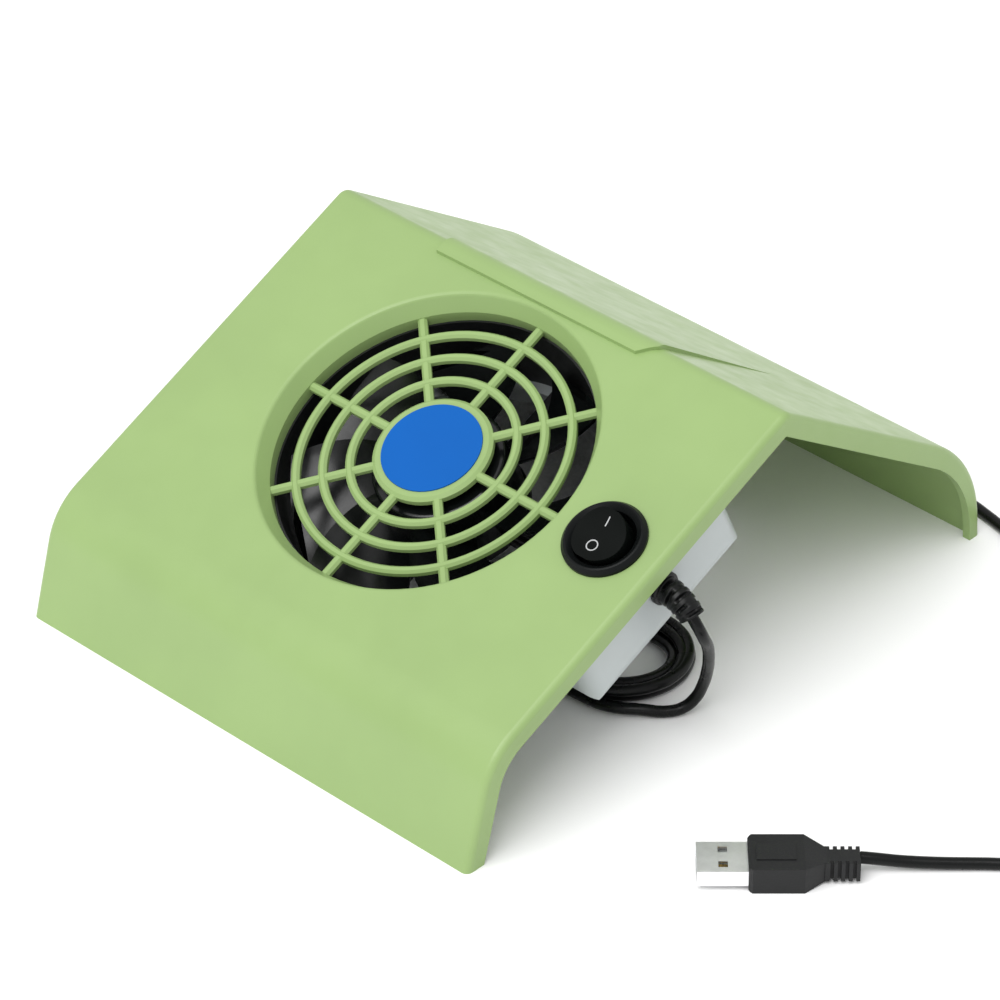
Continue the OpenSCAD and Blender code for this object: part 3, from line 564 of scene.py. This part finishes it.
# How firmly each ring is held while the cloth settles: the neck fully, then less and less.
HOLD = [1] * len(NECK_RINGS) + [0.8, 0.55, 0.3]
SETTLE_FRAMES = 20
# Farthest the cloth may move from its grid, and its lowest height over the table.
POUCH_CAP = 8 * MM
POUCH_LIFT = 1.2 * MM


def fold(angle):
    """Uneven frill: a few waves round the hem, laid over one another."""
    return sum(size * math.cos(count * angle + shift) for count, shift, size in POUCH_FOLDS)


def pouch_grid(surface):
    """Rings from the frilled hem down to a small one under the pouch."""
    centre = on_slope(AXIS_X, AXIS_S, NECK_H - 0.6)
    angles = turns(POUCH_AROUND)
    out = [Vector((math.cos(a), 0, 0)) + SLOPE_UP * math.sin(a) for a in angles]
    rings = [
        [
            on_slope(AXIS_X, AXIS_S, h + 0.35 * frill * fold(a + 1))
            + o * (r + frill * fold(a)) * MM
            for a, o in zip(angles, out)
        ]
        for r, h, frill in NECK_RINGS
    ]
    for i in range(POUCH_DOWN):
        drop = math.radians(FIRST_DROP + DROP_RANGE * i / (POUCH_DOWN - 1))
        slack = SLACK + NECK_SLACK * math.exp(-i / 9)
        ring = []
        for a, o in zip(angles, out):
            way = o * math.cos(drop) - SLOPE_NORMAL * math.sin(drop)
            reach = (surface.ray_cast(centre, way)[0] - centre).length
            crease = noise.noise(Vector((3 * math.cos(a), 3 * math.sin(a), 0.14 * i)))
            depth = slack * (1.2 + fold(a) * math.exp(-i / 11)) + CREASE * abs(crease)
            ring.append(centre + way * (reach - depth))
        rings.append(ring)
    return rings


def settle_pouch(pouch, surface):
    """Cloth under slight inner pressure, kept to its own space and off the table."""
    start = [v.co.copy() for v in pouch.data.vertices]
    group = pouch.vertex_groups.new(name="neck")
    for i, weight in enumerate(HOLD):
        group.add(list(range(i * POUCH_AROUND, (i + 1) * POUCH_AROUND)), weight, "REPLACE")
    settings = pouch.modifiers.new("cloth", "CLOTH").settings
    settings.quality = 6
    settings.mass = 0.1
    settings.tension_stiffness = 12
    settings.compression_stiffness = 12
    settings.bending_stiffness = 0.15
    settings.shrink_min = -0.05
    settings.use_pressure = True
    settings.uniform_pressure_force = 1.5
    settings.vertex_group_mass = "neck"
    settings.effector_weights.gravity = 0
    scene = bpy.context.scene
    for frame_number in range(1, SETTLE_FRAMES + 1):
        scene.frame_set(frame_number)
    seen = pouch.evaluated_get(bpy.context.evaluated_depsgraph_get()).data
    moved = [v.co.copy() for v in seen.vertices]
    pouch.modifiers.clear()
    scene.frame_set(1)
    for v, a, b in zip(pouch.data.vertices, start, moved):
        step = b - a
        if step.length > POUCH_CAP:
            step *= POUCH_CAP / step.length
        v.co = a + step
        near, normal, _, _ = surface.find_nearest(v.co)
        proud = (v.co - near).dot(normal)
        if v.index >= len(NECK_RINGS) * POUCH_AROUND and proud > 0:
            v.co -= normal * proud
        v.co.z = max(v.co.z, POUCH_LIFT)


def make_pouch():
    """Thin pouch just inside the CAD's solid, closed at one point underneath."""
    surface = BVHTree.FromObject(nodes["dust_bag"], bpy.context.evaluated_depsgraph_get())
    rings = pouch_grid(surface)
    verts, faces = skin(rings, closed_ends=False)
    bottom = len(verts)
    verts.append(sum(rings[-1], Vector()) / POUCH_AROUND)
    last = bottom - POUCH_AROUND
    for j in range(POUCH_AROUND):
        faces.append((last + j, last + (j + 1) % POUCH_AROUND, bottom))
    pouch = mesh_object("dust_pouch", verts, faces, "pouch")
    settle_pouch(pouch, surface)
    thickness = pouch.modifiers.new("cloth_thickness", "SOLIDIFY")
    thickness.thickness = CLOTH_THICKNESS
    thickness.offset = -1
    smoothing = pouch.modifiers.new("smooth", "SUBSURF")
    smoothing.levels = smoothing.render_levels = 1
    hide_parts("dust_bag")


make_pouch()

# Impeller: the CAD's blade formulas on a finer grid, with a rounded hub; fan frame in mm.
FAN_H = -8.3
HUB_R = 18.5
TIP_R = 43.2
BLADES = 7
# How far a blade's root reaches into the hub.
BLADE_ROOT = 0.6
BLADE_TOP = -4
BLADE_DROP = 14.4
BLADE_ROWS = 16
BLADE_COLS = 22
# Section of the hub from the middle of its face round to the middle of its inside: radius, height.
HUB_SECTION = [
    (0, -1.8),
    (17.2, -1.8),
    (17.8, -1.9),
    (18.3, -2.3),
    (HUB_R, -2.9),
    (HUB_R, -20),
    (17, -20),
    (17, -3.6),
    (3, -3.6),
    (3, -7),
    (1.5, -7),
    (1.5, -3.4),
    (0, -3.4),
]
HUB_SIDES = 96
# Edges that turn more than this stay sharp.
SHARP = math.radians(35)


def at_fan(radius, angle, height):
    """Point round the fan's axis; height is measured from its intake face."""
    x, up = radius * math.cos(angle), radius * math.sin(angle)
    return on_slope(AXIS_X + x, AXIS_S - up, FAN_H + height)


def blade_ring(out, first_angle):
    """Closed section of a blade; out runs from 0 at the root to 1 at the tip.

    u runs along the section, from the leading edge at the intake to the trailing edge.
    """
    radius = HUB_R - BLADE_ROOT + (TIP_R - HUB_R + BLADE_ROOT) * out
    sweep = 20 * out**1.4
    span = 40 + 3 * out
    upper, lower = [], []
    for j in range(BLADE_COLS + 1):
        u = j / BLADE_COLS
        angle = first_angle + math.radians(sweep + span * (u - 0.5))
        height = BLADE_TOP - BLADE_DROP * u**0.85
        upper.append(at_fan(radius, angle, height))
        lower.append(at_fan(radius, angle, height - 1 - 0.6 * math.sin(math.pi * u)))
    return upper + lower[::-1]


def make_impeller():
    """Smooth hub with its blades; it turns with the rotor."""
    rings = [[at_fan(r, a, h) for a in turns(HUB_SIDES)] for r, h in HUB_SECTION]
    hub = skin(rings, closed_ends=False)
    blades = [
        skin([blade_ring(i / BLADE_ROWS, angle) for i in range(BLADE_ROWS + 1)])
        for angle in turns(BLADES)
    ]
    impeller = mesh_object("impeller", *joined([hub] + blades), "blade", "rotor")
    impeller.data.set_sharp_from_angle(angle=SHARP)
    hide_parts("fan_impeller")


make_impeller()

# Rocker marks: light inlays in the engraved bar and ring, following the trough.
ROCKER_TILT = math.radians(11)
PIVOT = (62.5, 54.5, -1.5)
ROCKER_TOP = 3.4
TROUGH_R = 20
# Height of an inlay's face and of its underside over the trough.
MARK_FACE, MARK_ROOT = 0.04, -0.2
BAR_HALF_WIDTH = 0.17
BAR_ENDS = (2.75, 5.45)
RING_MIDDLE = Vector((0, -3.15))
RING_RADII = (1.34, 1.66)


def on_rocker(x, y, proud):
    """Point on the tilted rocker's trough; y runs up the slope from its middle."""
    z = ROCKER_TOP + TROUGH_R - math.sqrt(TROUGH_R**2 - y**2) - PIVOT[2] + proud
    up = y * math.cos(ROCKER_TILT) - z * math.sin(ROCKER_TILT)
    out = y * math.sin(ROCKER_TILT) + z * math.cos(ROCKER_TILT)
    return on_slope(PIVOT[0] + x, PIVOT[1] - up, PIVOT[2] + out)


def make_mark(name, cross_lines, closed_ends=True):
    """Inlay through lines drawn across the mark, each from (x, y) to (x, y)."""
    rings = [
        [
            on_rocker(*p, MARK_FACE), on_rocker(*q, MARK_FACE),
            on_rocker(*q, MARK_ROOT), on_rocker(*p, MARK_ROOT),
        ]
        for p, q in cross_lines
    ]
    mark = mesh_object(name, *skin(rings, closed_ends), "mark", "rocker")


def make_marks():
    bar = [((-BAR_HALF_WIDTH, y), (BAR_HALF_WIDTH, y)) for y in np.linspace(*BAR_ENDS, 9)]
    make_mark("mark_on", bar)
    # The last line across the ring meets the first, and the weld joins them.
    ways = [Vector((math.cos(a), math.sin(a))) for a in np.linspace(0, 2 * math.pi, 49)]
    ring = [[RING_MIDDLE + way * radius for radius in RING_RADII] for way in ways]
    make_mark("mark_off", ring, closed_ends=False)


make_marks()

# ---- room -------------------------------------------------------------------

FLOOR_REACH = 4
SURROUND_STRENGTH = 0.8
KEY_PLACE = Vector((0.17, -1.7, 2.94))
KEY_TARGET = Vector((0, 0, 0.04))
KEY_SIZE = 3
KEY_POWER = 100


def make_floor():
    mesh = bpy.data.meshes.new("floor")
    corners = [(-1, -1), (1, -1), (1, 1), (-1, 1)]
    verts = [(x * FLOOR_REACH, y * FLOOR_REACH, 0) for x, y in corners]
    mesh.from_pydata(verts, [], [(0, 1, 2, 3)])
    floor = bpy.data.objects.new("floor", mesh)
    bpy.context.scene.collection.objects.link(floor)
    white = Shader("floor_white", (0.95, 0.95, 0.95), 0.8)
    floor.data.materials.append(white.material)


def make_light():
    """Even white surroundings and one large soft light from above the front."""
    scene = bpy.context.scene
    scene.world = bpy.data.worlds.new("studio")
    scene.world.use_nodes = True
    surroundings = scene.world.node_tree.nodes["Background"]
    surroundings.inputs["Color"].default_value = (1, 1, 1, 1)
    surroundings.inputs["Strength"].default_value = SURROUND_STRENGTH
    key = bpy.data.objects.new("key", bpy.data.lights.new("key", "AREA"))
    scene.collection.objects.link(key)
    key.data.size = KEY_SIZE
    key.data.energy = KEY_POWER
    key.location = KEY_PLACE
    key.rotation_euler = (KEY_PLACE - KEY_TARGET).to_track_quat("Z", "Y").to_euler()
    scene.view_settings.view_transform = "Standard"


make_floor()
make_light()

bpy.context.view_layer.update()
